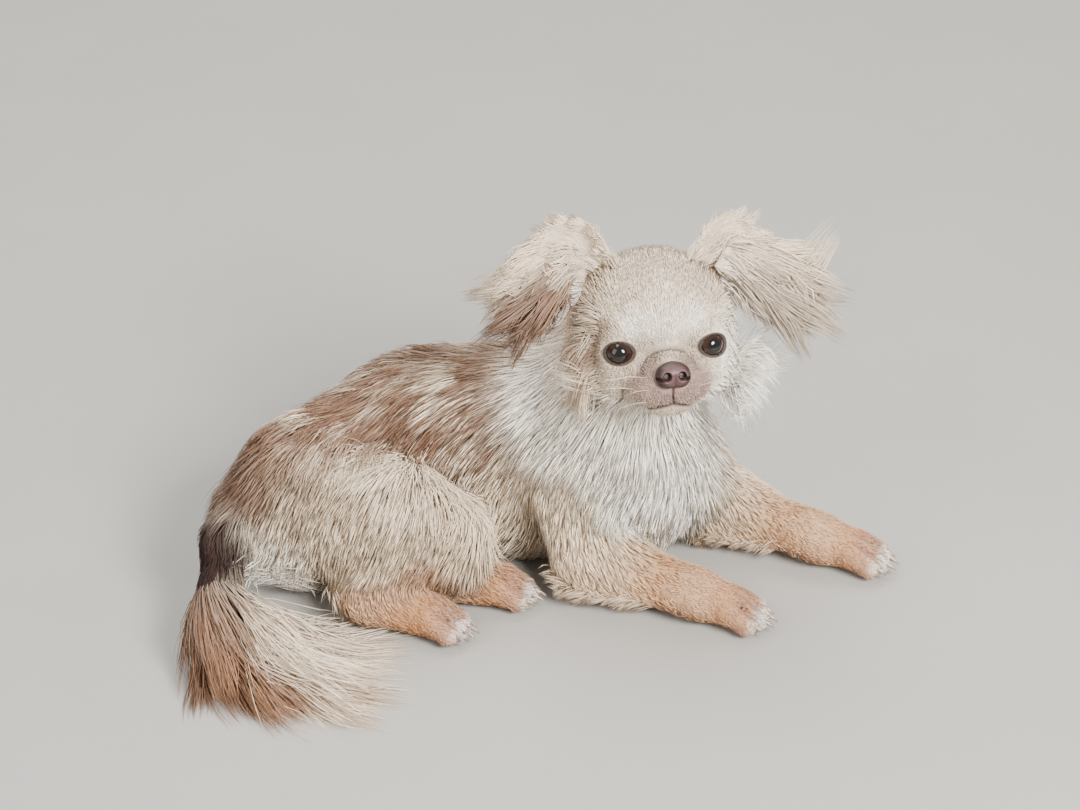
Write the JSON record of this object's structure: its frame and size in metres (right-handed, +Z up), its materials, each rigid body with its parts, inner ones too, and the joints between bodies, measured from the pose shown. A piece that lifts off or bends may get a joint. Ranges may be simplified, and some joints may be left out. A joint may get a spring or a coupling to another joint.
{
  "type": "long-haired chihuahua lying down, life-size model",
  "caption": "Still life-size model of a small long-haired dog lying on its belly, head turned to its right, forelegs out in front, plumed tail curled round.",
  "frame": {"origin": "on the floor under the middle of the dog's length and width", "axes": "+X towards the head end, +Y towards the dog's left side, +Z up"},
  "size_m": [0.399, 0.2602, 0.2321],
  "materials": {
    "coat_cream": "soft long fur",
    "coat_sable": "soft long fur",
    "coat_white": "soft long fur",
    "coat_tan": "short fur",
    "eye": "wet gloss",
    "nose": "moist leather"
  },
  "bodies": {
    "root": {"head": "coat_cream", "nose": "nose", "eye_right": "eye", "eye_left": "eye", "ear_right": "coat_cream", "ear_left": "coat_cream", "neck": "coat_white", "torso": "coat_sable", "tail": "coat_sable", "front_right_upper_arm": "coat_cream", "front_right_forearm": "coat_tan", "front_right_paw": "coat_tan", "front_left_upper_arm": "coat_cream", "front_left_forearm": "coat_tan", "front_left_paw": "coat_tan", "rear_right_thigh": "coat_cream", "rear_right_shank": "coat_tan", "rear_right_foot": "coat_tan", "rear_left_thigh": "coat_cream", "rear_left_foot": "coat_tan"}
  },
  "joints": []
}
